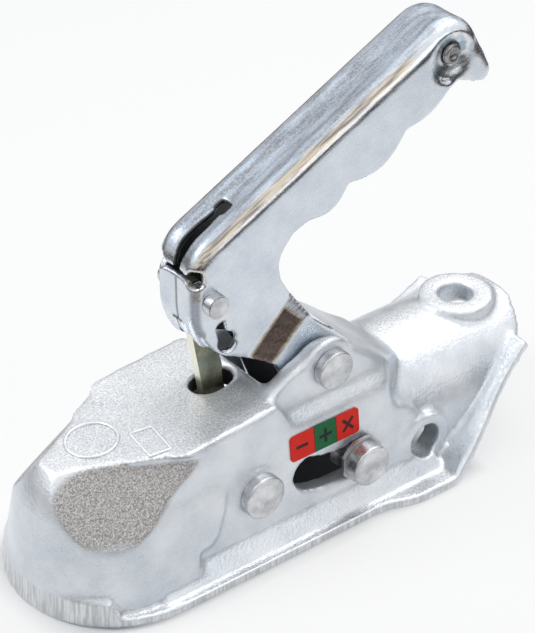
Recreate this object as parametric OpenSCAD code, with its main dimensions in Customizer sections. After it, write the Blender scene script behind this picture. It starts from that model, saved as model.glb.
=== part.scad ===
// Trailer coupling head for a 50 mm ball and a 50 mm round drawbar, handle open.
// Millimetres. The origin is the ball's centre, +X runs back along the drawbar,
// +Z is up and the indicator side faces -Y.

/* [Ball seat and rim] */
// Diameter of the towing ball
ball_d = 50; // [48:0.5:52]
// Clearance between the ball and its seat
seat_gap = 0.25; // [0.1:0.05:0.5]
// Height of the ball's centre above the rim
rim_drop = 24; // [22:0.5:27]
// Half width of the rim's outer edge along the sides
lip_half = 43.7; // [42:0.1:47]
// Thickness of the side lip
lip_t = 4.5; // [3.5:0.1:6]
// Height of the thick band round the nose
band_h = 11.5; // [8:0.1:14]
// Centre of the round nose, behind the ball's centre
nose_shift = 5.5; // [4:0.1:7]
// Half width of the rim at its wide rear corners
corner_half = 49.4; // [48:0.1:53]

/* [Bell over the ball] */
// Radius of the bell at its foot
bell_foot_r = 37.6; // [36.5:0.1:39]
// Radius of the bell where its dome starts
bell_top_r = 33.2; // [32:0.1:34.5]
// Height above the ball's centre at which the dome starts
dome_start = 13; // [10:0.5:16]
// Radius of the dome's side curve
dome_arc_r = 36; // [34:1:40]
// Height of the dome's top above the ball's centre
dome_top = 34; // [33:0.1:37]
// Length of the bell behind the ball's centre
bell_len = 32.5; // [30:0.5:34]
// Slope of the flat top, in degrees, rising rearwards
top_slope = 5; // [3:0.5:7]

/* [Body shell] */
// Half width of the body at the drawbar's axis
body_half = 34; // [33:0.1:36]
// Half width of the body's top
body_top_half = 29.8; // [29:0.1:31]
// Wall thickness of the shell
shell_t = 7; // [6:0.1:8]
// Half width over the ears
ear_half = 25.4; // [24.5:0.1:27]
// Radius of the ears' round top
ear_r = 13; // [12:0.1:15]
// Half width of the well between the ears
well_half = 17.4; // [16.5:0.1:18]
// Front edge of the well
well_front = 62.5; // [61.5:0.1:64]
// Rear edge of the well
well_rear = 104; // [103:0.1:105]
// Half width of the slot for the catch
catch_slot_half = 5.8; // [5:0.1:7]
// Front end of the slot for the catch
catch_slot_front = 42; // [41:0.1:43]
// Rear end of the slot for the catch
catch_slot_rear = 59.9; // [59.6:0.1:60.4]

/* [Drawbar saddle] */
// Diameter of the round drawbar
drawbar_d = 50; // [45:0.5:52]
// Clearance round the drawbar
drawbar_gap = 0.3; // [0.1:0.05:0.6]
// Height of the drawbar's axis above the rim
drawbar_up = 16.6; // [15:0.1:19]
// Wall thickness of the saddle
saddle_t = 7.3; // [6:0.1:9]
// Front stop of the drawbar's channel
channel_front = 112; // [110:0.5:115]
// Rear end of the saddle's crown
crown_end = 197; // [193:0.5:205]
// Start of the swept-up rear edge of the rim
sweep_x = 136; // [134:0.5:139]
// Angle of the swept-up rear edge
sweep_angle = 35; // [30:0.5:38]
// Diameter of the two bolt holes
bolt_hole_d = 14.5; // [12:0.1:16]
// Distance of the cross bolt hole behind the ball
cross_bolt_x = 130.7; // [128:0.1:133]
// Distance of the upright bolt hole behind the ball
upright_bolt_x = 175.7; // [170:0.1:178]
// Radius of the pad round the upright bolt hole
pad_r = 15.5; // [13:0.1:17]
// Height of that pad over the crown
pad_h = 2; // [1:0.1:4]

/* [Handle] */
// Distance of the handle pin behind the ball
pivot_x = 88; // [87:0.1:89]
// Height of the handle pin above the ball's centre
pivot_z = 42; // [41:0.1:43]
// Diameter of the handle pin
pivot_d = 12; // [10:0.1:13]
// Width over the grip's side plates
grip_w = 26; // [24:0.1:28]
// Thickness of the folded sheet
sheet_t = 3.4; // [2.5:0.1:3.6]
// Gap between the handle's arms and the ears
arm_gap = 0.4; // [0.3:0.05:0.6]
// Corner radius of the fold along the web
fold_r = 6; // [5:0.1:7]
// Slope of the grip above the drawbar, in degrees
grip_slope = 26.1; // [24:0.1:28]
// Length of the grip's straight web
grip_len = 117.5; // [110:0.5:120]
// Radius of the web's front bend
bend_r = 17; // [15:0.5:19]
// Radius of the curled grip end
curl_r = 14.5; // [13.5:0.1:16]
// Diameter of the grip rivet
rivet_d = 6.4; // [5:0.1:8]
// Greatest swing of the handle, in degrees
handle_swing = 33; // [28:0.5:34]

/* [Indicator bolt] */
// Distance between the handle pin and the indicator bolt
crank_r = 42.4; // [41:0.1:43]
// Angle of that crank behind the vertical, in degrees
crank_angle = 11.4; // [9:0.1:13]
// Diameter of the indicator bolt
bolt_d = 12; // [10:0.1:13]
// Width of the slots in the side walls
slot_w = 14; // [13.5:0.1:15]
// Radius of the bolt's head
bolt_head_r = 8.6; // [8:0.1:9.5]
// Length of the indicator label
label_l = 33.4; // [30:0.1:36]
// Height of the indicator label
label_h = 11; // [9:0.1:12]

/* [Jaw and spring] */
// Distance of the jaw pin behind the ball
jaw_pin_x = 48.3; // [47.5:0.1:49]
// Height of the jaw pin above the ball's centre
jaw_pin_z = 5; // [4:0.1:6]
// Diameter of the jaw pin
jaw_pin_d = 12; // [11:0.1:13]
// Half width of the jaw
jaw_half = 22; // [20:0.1:23]
// Angle by which the open jaw stands off the ball, in degrees
jaw_open = 13; // [12:0.5:14]
// Outer diameter of the pressure spring
spring_d = 13.6; // [12:0.1:14]
// Wire diameter of the pressure spring
wire_d = 2.4; // [2:0.1:2.8]

/* [Catch] */
// Distance of the catch pin behind the ball
catch_pin_x = 43; // [42:0.1:44]
// Height of the catch pin above the ball's centre
catch_pin_z = 82; // [81:0.1:83]
// Diameter of the catch pin
catch_pin_d = 5; // [4:0.1:5.6]
// Thickness of the catch's blade
blade_t = 4; // [3:0.1:5]

/* [Hidden] */

$fn = 72;
big = 400;
eps = 0.02;
// Radial running clearance of every pin
run_gap = 0.05;
// Side clearance between neighbouring pieces on one pin
side_gap = 0.2;

ball_r = ball_d / 2;
seat_r = ball_r + seat_gap;
rim_z = -rim_drop;
axis_z = rim_z + drawbar_up;
channel_r = drawbar_d / 2 + drawbar_gap;
crown_r = channel_r + saddle_t;
crown_z = axis_z + crown_r;
cavity_half = body_half - shell_t - 0.5;
pad_z = crown_z + pad_h;
bolt_hole_r = bolt_hole_d / 2;
boss_r = bolt_hole_r + 4.6;
boss_y = body_half + 0.6;

arm_half = well_half - arm_gap;
grip_half = grip_w / 2;
pivot_r = pivot_d / 2;
bolt_r = bolt_d / 2;
jaw_pin_r = jaw_pin_d / 2;
catch_pin_r = catch_pin_d / 2;
rivet_r = rivet_d / 2;

pivot = [pivot_x, pivot_z];
jaw_pin_at = [jaw_pin_x, jaw_pin_z];
catch_pin_at = [catch_pin_x, catch_pin_z];
bolt_at = pivot + crank_r * [sin(crank_angle), -cos(crank_angle)];

// Grip's frame: u runs up the grip from the start of the front bend, n points out of the web
bend_at = [52, 90.7];
rivet_at = bend_at + grip_len * [cos(grip_slope), sin(grip_slope)]
    - (curl_r - bend_r) * [-sin(grip_slope), cos(grip_slope)];

// Head of each pin, outside its seat
head_t = 4.3;
pin_a_head_r = 9;
pin_c_head_r = 8;
catch_head_r = 4.7;
pad_a_y = body_half - 0.8;
pad_c_y = ear_half + 0.6;
flange_y = body_half + 0.7;
flange_t = 1.6;
flange_across = 18.6;
ring_t = 2.4;

// Turns a drawing in X and Z into a plate from y0 to y1
module plate(y0, y1) {
    translate([0, y1, 0]) rotate([90, 0, 0]) linear_extrude(y1 - y0) children();
}

// Round bar along Y, centred at a point in X and Z
module bar(at, r, y0, y1) {
    translate([at[0], y0, at[1]]) rotate([-90, 0, 0]) cylinder(r = r, h = y1 - y0);
}

// Tube along Y
module tube(at, r, bore, y0, y1) {
    difference() {
        bar(at, r, y0, y1);
        bar(at, bore, y0 - 1, y1 + 1);
    }
}

// Both a shape and its mirror image across the middle plane
module both_sides() {
    children();
    mirror([0, 1, 0]) children();
}

// Turns its children about an axis along Y through a point in X and Z
module turn_about(at, angle) {
    translate([at[0], 0, at[1]]) rotate([0, angle, 0]) translate([-at[0], 0, -at[1]]) children();
}

// Points on an arc, centre c, radius r, from angle a to angle b
function arc(c, r, a, b, n = 8) = [for (i = [0 : n]) c + r * [cos(a + (b - a) * i / n), sin(a + (b - a) * i / n)]];

// The same arc without its two end points
function arc_between(c, r, a, b, n = 8) = [for (i = [1 : n - 1]) c + r * [cos(a + (b - a) * i / n), sin(a + (b - a) * i / n)]];

function mirrored(half) = concat(half, [for (i = [len(half) - 1 : -1 : 0]) [-half[i][0], half[i][1]]]);

// Height of the sloping flat top at x
function top_z(x) = dome_top - 0.9 + (x + 3) * tan(top_slope);

// Half section of the bell: radius and height
bell_draft = atan((bell_foot_r - bell_top_r) / (dome_start - rim_z - band_h - 1));
dome_centre = [bell_top_r, dome_start] - dome_arc_r * [cos(bell_draft), sin(bell_draft)];
bell_profile = concat(
    [[0, rim_z], [bell_foot_r, rim_z], [bell_foot_r, rim_z + band_h + 1]],
    arc(dome_centre, dome_arc_r, bell_draft, 48, 8),
    [[0, dome_top + 4]]);

// Bell over the ball: its half section carried round the nose and back along both sides
module bell() {
    rotate_extrude() polygon(bell_profile);
    intersection() {
        rotate([90, 0, 90]) linear_extrude(bell_len) polygon(mirrored(bell_profile));
        plate(-big, big) polygon([[-1, rim_z], [bell_len - 16, rim_z], [bell_len - 14, -7], [bell_len - 8, -6.5],
            [bell_len - 4, -1.5], [bell_len - 1.5, 5], [bell_len, 12], [bell_len, 60], [-1, 60]]);
    }
}

// Outline of the rim seen from above
module rim_outline(grow = 0) {
    translate([nose_shift, 0]) circle(lip_half - grow);
    polygon(mirrored_y([[nose_shift, lip_half - grow], [98, lip_half - grow],
        [105, lip_half + 1.2 - grow], [112, corner_half - 1.6 - grow], [119, corner_half - 0.3 - grow],
        [sweep_x - 0.6, corner_half - grow]]));
}

function mirrored_y(half) = concat(half, [for (i = [len(half) - 1 : -1 : 0]) [half[i][0], -half[i][1]]]);

// Flat lip along the sides, and the taller band round the nose with its sloped step
module rim() {
    translate([0, 0, rim_z]) linear_extrude(lip_t) rim_outline();
    intersection() {
        translate([0, 0, rim_z]) linear_extrude(band_h) rim_outline(0.5);
        plate(-big, big) polygon([[-big, rim_z - 1], [-17, rim_z - 1], [-17, rim_z + lip_t],
            [-21.5, rim_z + band_h + 1], [-big, rim_z + band_h + 1]]);
    }
}

// Side outline of the body below the ears
body_outline = [[0, rim_z], [sweep_x - 1.2, rim_z], [sweep_x - 1.2, axis_z], [128, 8], [121, 14], [110, 18],
    [74, 20], [67, 26], [62.5, 34], [60, top_z(58)], [0, top_z(0)]];

// Half section of the body: lip root, flared skirt and drafted wall
skirt_half = lip_half - 3.4;
body_section = [[skirt_half, rim_z], [skirt_half, rim_z + lip_t], [skirt_half - 2.6, rim_z + lip_t + 3.4],
    [body_half + 0.4, rim_z + 12], [body_half, axis_z], [body_half - 1, 5],
    [body_top_half + 1.7, 20], [body_top_half, 42]];

module body() {
    intersection() {
        rotate([90, 0, 90]) linear_extrude(sweep_x) polygon(mirrored(body_section));
        plate(-big, big) polygon(body_outline);
    }
}

// Hump that carries the ears: one profile right across
ear_centre = pivot + [-1.5, -3.5];
hump_outline = concat(
    [[40, 0], [40, top_z(40)], [58, top_z(58)], [65, 42], [70, 45]],
    arc(ear_centre, ear_r, 130, 52, 8),
    [[112, 37], [121, 30], [130, crown_z], [130, 0]]);

module hump() {
    half_section = [[body_half - 1, 0], [body_half - 1, 5], [body_top_half + 1.7, 20],
        [body_top_half + 0.8, 25], [ear_half + 1, 31], [ear_half, 35.5], [ear_half, pivot_z + 6],
        [ear_half - 2, pivot_z + 10.5]];
    intersection() {
        plate(-big, big) polygon(hump_outline);
        translate([30, 0, 0]) rotate([90, 0, 90]) linear_extrude(110) polygon(mirrored(half_section));
        translate([0, 0, -5]) linear_extrude(big) polygon(mirrored_y([[30, 40], [108, 40], [118, 26], [138, 10]]));
    }
}

// Space above the swept-up rear edge, and in front of the crown's slanted end
module above_sweep() {
    translate([sweep_x, 0, rim_z]) rotate([0, -sweep_angle, 0]) translate([-big / 2, -big / 2, 0]) cube(big);
}

module before_end() {
    plate(-big / 2, big / 2) polygon([[0, rim_z + 0.7], [crown_end - 22, rim_z + 0.7],
        [crown_end - 9, crown_z - 14], [crown_end, crown_z], [crown_end, big], [0, big]]);
}

// Round outer shell of the saddle over the drawbar
module saddle() {
    intersection() {
        translate([channel_front - 12, 0, axis_z]) rotate([0, 90, 0]) cylinder(r = crown_r, h = big);
        above_sweep();
        before_end();
    }
    translate([upright_bolt_x, 0, axis_z]) cylinder(r = pad_r, h = pad_z - axis_z);
}

// Lip that follows the swept-up rear edge and dies out at the crown
module swept_lip() {
    sweep_len = (crown_end - 9 - sweep_x) / cos(sweep_angle);
    half = mirrored_y([[-10, corner_half], [0, corner_half], [0.26 * sweep_len, corner_half - 4],
        [0.43 * sweep_len, corner_half - 7.6], [0.61 * sweep_len, corner_half - 12],
        [0.8 * sweep_len, crown_r + 1.6], [sweep_len, crown_r - 0.4]]);
    intersection() {
        translate([sweep_x, 0, rim_z]) rotate([0, -sweep_angle, 0]) linear_extrude(lip_t) polygon(half);
        translate([sweep_x - 12, -big / 2, rim_z]) cube(big);
        before_end();
    }
}

// Rough bevelled cheek between the flat top and the bell, one plane on each side
module cheek_cut() {
    translate([-17, -8.5, top_z(-17)]) rotate([0, 0, -27.5]) rotate([53, 0, 0])
        translate([-60, -60, 0]) cube([120, 60.2, 60]);
}

// Slot for the indicator bolt: an arc round the handle pin with round ends, through both walls
slot_rear = crank_angle - 90;
slot_front = slot_rear - handle_swing;
slot_outline = concat(
    arc(pivot, crank_r + slot_w / 2, slot_rear, slot_front, 10),
    arc_between(pivot + crank_r * [cos(slot_front), sin(slot_front)], slot_w / 2, slot_front, slot_front - 180, 12),
    arc(pivot, crank_r - slot_w / 2, slot_front, slot_rear, 10),
    arc_between(pivot + crank_r * [cos(slot_rear), sin(slot_rear)], slot_w / 2, slot_rear + 180, slot_rear, 12));

module bolt_slots() {
    both_sides() plate(cavity_half - 2, body_half + 8) polygon(slot_outline);
}

// Everything that is hollow under the shell
module hollow() {
    sphere(r = seat_r, $fn = 96);
    translate([0, 0, rim_z - 1]) cylinder(r = seat_r, h = rim_drop + 1);
    translate([0, 0, rim_z - 0.01]) cylinder(r1 = seat_r + 3, r2 = seat_r, h = 3);
    plate(-cavity_half, cavity_half) polygon([[12, rim_z - 1], [12, -6], [22, 6], [25, 18],
        [32, top_z(32) - shell_t], [channel_front - 14, top_z(50) - shell_t], [channel_front, axis_z + channel_r - 2],
        [channel_front, rim_z - 1]]);
    translate([channel_front - 4, 0, axis_z]) rotate([0, 90, 0]) cylinder(r = channel_r, h = big);
    translate([channel_front - 4, -channel_r, -big + axis_z]) cube([big, 2 * channel_r, big]);
}

// Rounded rectangle between two corners
module round_rect(a, b, r) {
    translate([a[0] + r, a[1]]) square([b[0] - a[0] - 2 * r, b[1] - a[1]]);
    translate([a[0], a[1] + r]) square([b[0] - a[0], b[1] - a[1] - 2 * r]);
    for (x = [a[0] + r, b[0] - r], y = [a[1] + r, b[1] - r]) translate([x, y]) circle(r);
}

module housing() color("gainsboro") {
    difference() {
        union() {
            intersection() {
                bell();
                translate([-3, 0, dome_top - 0.9]) rotate([0, -top_slope, 0])
                    translate([-big / 2, -big / 2, -big]) cube(big);
            }
            rim();
            body();
            hump();
            saddle();
            swept_lip();
            both_sides() {
                bar(pivot, ear_r - 1, ear_half - 4, pad_c_y);
                bar([cross_bolt_x, axis_z], boss_r, channel_r + 2, boss_y);
                bar(jaw_pin_at, pin_a_head_r + 1, cavity_half + 2, pad_a_y);
            }
        }
        both_sides() cheek_cut();
        hollow();
        translate([0, 0, -6]) linear_extrude(big)
            round_rect([well_front, -well_half], [well_rear, well_half], 2);
        translate([0, 0, 10]) linear_extrude(big)
            round_rect([catch_slot_front, -catch_slot_half], [catch_slot_rear, catch_slot_half],
                catch_slot_half - eps);
        bolt_slots();
        bar(pivot, pivot_r + run_gap, -big / 2, big / 2);
        bar(jaw_pin_at, jaw_pin_r + run_gap, -big / 2, big / 2);
        both_sides() bar(jaw_pin_at, pin_a_head_r + 0.5, pad_a_y, big / 2);
        both_sides() bar(bolt_at, flange_across / 2 + 1.2, flange_y - 0.3, big / 2);
        bar([cross_bolt_x, axis_z], bolt_hole_r, -big / 2, big / 2);
        translate([upright_bolt_x, 0, axis_z]) cylinder(r = bolt_hole_r, h = big);
    }
}

// Joggle of the side plates: two fold lines that run up and back at this angle
joggle_angle = 43.5;
joggle_at = [71.5, 56.5];
joggle_run = 11.3;

// Side outline of the folded handle, both plates alike
grip_dir = [cos(grip_slope), sin(grip_slope)];
grip_out = [-sin(grip_slope), cos(grip_slope)];
function on_grip(u, n) = bend_at + u * grip_dir + n * grip_out;
inset = fold_r + 0.8;
curl_end = 20;
lip_dir = [sin(curl_end), -cos(curl_end)];
lip_len = 17;
lip_at = rivet_at + curl_r * [cos(curl_end), sin(curl_end)];
// Nose of the handle: straight length below the bend, then a curve back towards the body
nose_len = 12;
nose_r = 30;
nose_turn = 39;
nose_at = bend_at + [nose_r - bend_r, -nose_len];
// Underside of the grip: shallow waves for the fingers between two places on it. Each has its start and end
// as shares of that run, its level and its depth.
waves_from = 36.4;
waves_run = grip_len - 6.5 - waves_from;
waves = [[0, 0.283, -7.8, 4.2], [0.288, 0.689, -8.4, 5.4], [0.694, 1, -8.4, 2.4]];
handle_outline = concat(
    [on_grip(0, bend_r - inset)],
    arc(bend_at, bend_r - inset, 90 + grip_slope, 180, 6),
    arc(nose_at, nose_r - inset, 180, 180 + nose_turn, 6),
    [[45.4, 58.2], [48.5, 56], [53, 53.8], [58.5, 51.2], [64, 48.6], [69, 45.4], [72, 40], bolt_at + 9.5 * [cos(175), sin(175)]],
    arc(bolt_at, 9.5, 190, 360, 10),
    arc(pivot, 12.6, -10, 62, 6),
    [[87, 59.5], [82, 67.5], [78, 74], [75, 79.5], [74, 86], [74.8, 89.5], [77, 93], [81, 97.2]],
    [for (w = waves, i = [0 : 8]) on_grip(waves_from + waves_run * (w[0] + (w[1] - w[0]) * i / 8),
        w[2] - w[3] * sin(180 * i / 8))],
    [on_grip(grip_len - 1.5, -8), lip_at + lip_len * lip_dir - 8 * [cos(curl_end), sin(curl_end)],
        lip_at + lip_len * lip_dir - inset * [cos(curl_end), sin(curl_end)]],
    arc(rivet_at, curl_r - inset, curl_end, 90 + grip_slope, 8));

// Side plate: straight along the grip, then joggled out to the arm inside its ear
module side_plate() {
    inner = grip_half - sheet_t;
    arm_in = arm_half - sheet_t;
    intersection() {
        plate(-big / 2, big / 2) polygon(handle_outline);
        translate([joggle_at[0], 0, joggle_at[1]]) rotate([0, 90 - joggle_angle, 0])
            translate([0, 0, -big / 2]) linear_extrude(big) polygon([
                [-big / 2, inner], [-big / 2, grip_half], [-joggle_run / 2, grip_half],
                [joggle_run / 2, arm_half], [big / 2, arm_half], [big / 2, arm_in],
                [joggle_run / 2 + 0.6, arm_in], [-joggle_run / 2 + 0.6, inner]]);
    }
}

// Section of the folded web: two round corners with short legs and a shallow trough; x across, y out of the web.
// thin takes a little off every face, so that one length of web can start inside another.
trough_r = 24;
function fold_outline(depth, thin) = let (edge = grip_half - fold_r, inner_r = fold_r - sheet_t + thin,
        outer_r = fold_r - thin, dip_r = trough_r + thin, lean = asin(edge / dip_r))
    concat(
        [[-grip_half + thin, -depth]],
        arc([-edge, -fold_r], outer_r, 180, 90, 8),
        arc_between([0, dip_r * cos(lean) - thin], dip_r, 270 - lean, 270 + lean, 8),
        arc([edge, -fold_r], outer_r, 90, 0, 8),
        [[grip_half - thin, -depth], [grip_half - sheet_t + thin, -depth]],
        arc([edge, -fold_r], inner_r, 0, 90, 6),
        arc([-edge, -fold_r], inner_r, 90, 180, 6),
        [[-grip_half + sheet_t - thin, -depth]]);

// Web carried along the straight grip, round the front bend, down the nose and round the curl.
// It lies just inside the side plates' faces, and each length starts a little inside its neighbour.
module web() {
    depth = 9;
    nest = 0.03;
    lap = 0.5;
    translate([bend_at[0], 0, bend_at[1]]) rotate([0, -grip_slope, 0]) {
        translate([0, 0, bend_r]) rotate([90, 0, 90]) linear_extrude(grip_len) polygon(fold_outline(depth, nest));
        translate([grip_len, 0, bend_r - curl_r]) rotate([90, 0, 0])
            rotate([0, 0, curl_end - grip_slope]) rotate_extrude(angle = 90 + grip_slope - curl_end + 2)
                translate([curl_r, 0]) rotate(-90) polygon(fold_outline(depth, 2 * nest));
    }
    translate([lip_at[0], 0, lip_at[1]]) rotate([0, 90 - curl_end, 0]) translate([-lap, 0, 0])
        rotate([90, 0, 90]) linear_extrude(lip_len + lap) polygon(fold_outline(depth, 3 * nest));
    translate([bend_at[0], 0, bend_at[1]]) rotate([90, 0, 0])
        rotate([0, 0, 88 + grip_slope]) rotate_extrude(angle = 92 - grip_slope)
            translate([bend_r, 0]) rotate(-90) polygon(fold_outline(depth, 2 * nest));
    translate([bend_at[0] - bend_r, 0, nose_at[1]]) rotate([0, -90, 0]) rotate([90, 0, 90])
        linear_extrude(nose_len + lap) polygon(fold_outline(depth, 3 * nest));
    translate([nose_at[0], 0, nose_at[1]]) rotate([90, 0, 0]) rotate([0, 0, 180])
        rotate_extrude(angle = nose_turn) translate([nose_r, 0]) rotate(-90)
            polygon(fold_outline(depth, 3 * nest));
}

module handle() color("lightsteelblue") {
    difference() {
        union() {
            both_sides() side_plate();
            web();
            both_sides() bar(rivet_at, 11, grip_half - 5.4, grip_half - 2);
        }
        both_sides() bar(rivet_at, 9.6, grip_half - 2.4, big / 2);
        bar(rivet_at, rivet_r + run_gap, -big / 2, big / 2);
        bar(pivot, pivot_r + run_gap, -big / 2, big / 2);
        bar(bolt_at, bolt_r + run_gap, -big / 2, big / 2);
        bar(catch_pin_at, catch_pin_r + run_gap, -big / 2, big / 2);
        web_cuts();
        both_sides() keyhole();
    }
}

// Keyhole in each side plate that takes the catch spring's leg
keyhole_at = [50, 62];
module keyhole() {
    bar(keyhole_at, 4.1, 0, big / 2);
    plate(0, big / 2) polygon([keyhole_at + [-3.6, 1], keyhole_at + [0.4, 2], keyhole_at + [-1.2, 10],
        keyhole_at + [-5, 8.6]]);
}

// Square hole, tapering slit, cross cut and seam in the web, with relief holes at its corners
module web_cuts() {
    cut_z = bend_at[1] + 1.4;
    translate([bend_at[0], 0, bend_at[1]]) rotate([0, -grip_slope, 0])
        translate([11.6, -2.6, bend_r - 12]) cube([5.2, 5.2, 20]);
    translate([bend_at[0] - bend_r + 0.5, 0, cut_z + 1]) rotate([0, -39.6, 0]) translate([0, 0, -6])
        linear_extrude(30) polygon(mirrored_y([[0, 1.1], [9, 2.2], [19, 2], [31, 1]]));
    translate([bend_at[0] - bend_r - 3, -grip_half + 3, cut_z - 1]) cube([9, grip_w - 6, 2]);
    translate([bend_at[0] - bend_r - 3, -0.3, nose_at[1] - 6]) cube([9, 0.6, cut_z - nose_at[1] + 6]);
    // way for the catch through the lower end of the nose
    translate([30, -3.2, 50]) cube([16, 6.4, 20]);
    both_sides() translate([bend_at[0] - bend_r, grip_half - 3, cut_z + 0.5]) rotate([0, 90, 0])
        translate([0, 0, -8]) cylinder(r = 3.4, h = 13);
}

module grip_rivet() color("silver") {
    bar(rivet_at, rivet_r, -grip_half + 0.9, grip_half - 0.9);
    both_sides() bar(rivet_at, rivet_r + 1, grip_half - 2.4, grip_half - 0.5);
}

module grip_spacer() color("silver")
    tube(rivet_at, rivet_r + 2.6, rivet_r + run_gap, -grip_half + 5.6, grip_half - 5.6);

// Headed pin along Y, its head on the near side and a short tail through the far ring
module headed_pin(at, r, head_r, seat, ring, grip = head_t) {
    bar(at, r, -seat, seat + ring + 1);
    bar(at, head_r - 0.5, -seat - grip, -seat);
    bar(at, head_r, -seat - grip + 0.5, -seat);
}

module handle_pin() color("silver") headed_pin(pivot, pivot_r, pin_c_head_r, pad_c_y, ring_t);
module handle_pin_ring() color("silver")
    tube(pivot, pin_c_head_r, pivot_r + run_gap, pad_c_y, pad_c_y + ring_t);
module pivot_sleeve() color("gray")
    tube(pivot, pivot_r + 2.2, pivot_r + run_gap, -(arm_half - sheet_t - side_gap), arm_half - sheet_t - side_gap);

module jaw_pin() color("silver") headed_pin(jaw_pin_at, jaw_pin_r, pin_a_head_r, pad_a_y, ring_t);
module jaw_pin_ring() color("silver")
    tube(jaw_pin_at, pin_a_head_r, jaw_pin_r + run_gap, pad_a_y, pad_a_y + ring_t);
module jaw_washers() color("gray") both_sides()
    tube(jaw_pin_at, jaw_pin_r + 4, jaw_pin_r + run_gap, jaw_half + side_gap, cavity_half - side_gap / 2);

module indicator_bolt() color("silver") {
    seat = flange_y + flange_t;
    headed_pin(bolt_at, bolt_r, bolt_head_r, seat, ring_t, head_t + 2);
}
module bolt_ring() color("silver") {
    seat = flange_y + flange_t;
    tube(bolt_at, bolt_head_r, bolt_r + run_gap, seat, seat + ring_t);
}

// Eight-sided slide collar: outer flange, block in the slot and sleeve against the arm
module collar() {
    difference() {
        union() {
            translate([bolt_at[0], flange_y + flange_t, bolt_at[1]]) rotate([90, 22.5, 0])
                cylinder(d = flange_across / cos(22.5), h = flange_t, $fn = 8);
            translate([bolt_at[0], flange_y, bolt_at[1]]) rotate([90, 22.5, 0])
                cylinder(d = slot_w - 1, h = flange_y - cavity_half + 0.5, $fn = 8);
            bar(bolt_at, bolt_r + 2, arm_half + side_gap, cavity_half);
        }
        bar(bolt_at, bolt_r + run_gap, 0, big);
    }
}
module collar_far() color("dimgray") collar();
module collar_near() color("dimgray") mirror([0, 1, 0]) collar();

rod_half = 5;
module bolt_sleeves() color("gray") both_sides()
    tube(bolt_at, bolt_r + 2, bolt_r + run_gap, rod_half + side_gap, arm_half - sheet_t - side_gap);

// Push line from the indicator bolt down to the seat on the jaw's tail
seat_at = jaw_pin_at + [1.7, -19.5];
push = seat_at - bolt_at;
push_len = norm(push);
push_dip = atan2(-push[1], -push[0]);
spring_r = spring_d / 2;
shoulder_at = 10;
cup_t = 2;
nose_ball_r = 4;
cup_at = push_len - 6;
stem_end = 22;
pocket_r = nose_ball_r + 1.9;
pocket_depth = nose_ball_r + 0.5;

// Places a shape drawn along +Z on the push line, from the bolt towards the jaw
module on_push_line() {
    translate([bolt_at[0], 0, bolt_at[1]]) rotate([0, -90 - push_dip, 0]) children();
}

module spring_rod() color("silver") difference() {
    union() {
        bar(bolt_at, bolt_r + 3.4, -rod_half, rod_half);
        on_push_line() {
            cylinder(r = rod_half, h = shoulder_at);
            translate([0, 0, shoulder_at - 1.8]) cylinder(r = spring_r + 0.6, h = 1.8);
            cylinder(r = spring_r - wire_d - 0.6, h = stem_end);
        }
    }
    bar(bolt_at, bolt_r + run_gap, -big / 2, big / 2);
}

// Cup under the spring, with a round nose that rocks in the jaw's pocket
module spring_cup() color("gray") on_push_line() {
    translate([0, 0, cup_at - cup_t]) cylinder(r = spring_r + 0.6, h = cup_t);
    translate([0, 0, cup_at - 0.1]) cylinder(r = nose_ball_r - 0.8, h = push_len - cup_at);
    translate([0, 0, push_len]) sphere(r = nose_ball_r);
    translate([0, 0, cup_at - cup_t - 1.5]) cylinder(r = spring_r - wire_d - 0.3, h = 2);
}

// Wire carried along a coil: centre line radius, turns, length and wire radius
module coil(radius, turns, length, wire, sides = 8, steps = 16) {
    rings = turns * steps;
    points = [for (i = [0 : rings], j = [0 : sides - 1])
        let (a = 360 * i / steps, b = 360 * j / sides, r = radius + wire * cos(b))
        [r * cos(a), r * sin(a), length * i / rings + wire * sin(b)]];
    faces = concat(
        [[for (j = [sides - 1 : -1 : 0]) j]],
        [[for (j = [0 : sides - 1]) rings * sides + j]],
        [for (i = [0 : rings - 1], j = [0 : sides - 1])
            let (a = i * sides + j, b = i * sides + (j + 1) % sides)
            [a, b, b + sides, a + sides]]);
    polyhedron(points, faces);
}

module pressure_spring() color("dimgray") {
    wire_r = wire_d / 2;
    room = cup_at - cup_t - shoulder_at;
    on_push_line() translate([0, 0, shoulder_at + wire_r + 0.1])
        coil(spring_r - wire_r, 4.5, room - 2 * wire_r - 0.2, wire_r);
}

// Jaw behind the ball, drawn open; its hollow face fits the ball once it has turned shut
module ball_jaw() color("silver") {
    tail = [-sin(push_dip), cos(push_dip)];
    difference() {
        union() {
            plate(-jaw_half, jaw_half) polygon([[25.6, -20.6], [27.5, -22.4], seat_at + tail * -8.2,
                seat_at + tail * 6.5, [41, -4], [37, 4], [30, 8], [25.6, 6]]);
            bar(jaw_pin_at, jaw_pin_r + 4, -jaw_half, jaw_half);
            plate(-jaw_half, jaw_half) polygon([[30, 8], [37, -12], [48, -12], jaw_pin_at + [9, -4],
                jaw_pin_at + [4, 9], jaw_pin_at + [-4, 9]]);
        }
        turn_about(jaw_pin_at, -jaw_open) {
            sphere(r = seat_r, $fn = 96);
        }
        translate([0, 0, -60]) cylinder(r = ball_r + 0.6, h = 120);
        bar(jaw_pin_at, jaw_pin_r + run_gap, -big / 2, big / 2);
        // room for the spring between the two cheeks
        plate(-10.5, 10.5) polygon([seat_at + tail * 6.6, [43, -3], [40, 20], [70, 20], [70, -10],
            seat_at + tail * -9 + [12, 4]]);
        on_push_line() translate([0, 0, push_len - 30]) cylinder(r = pocket_r, h = 30 + pocket_depth);
    }
}

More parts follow.
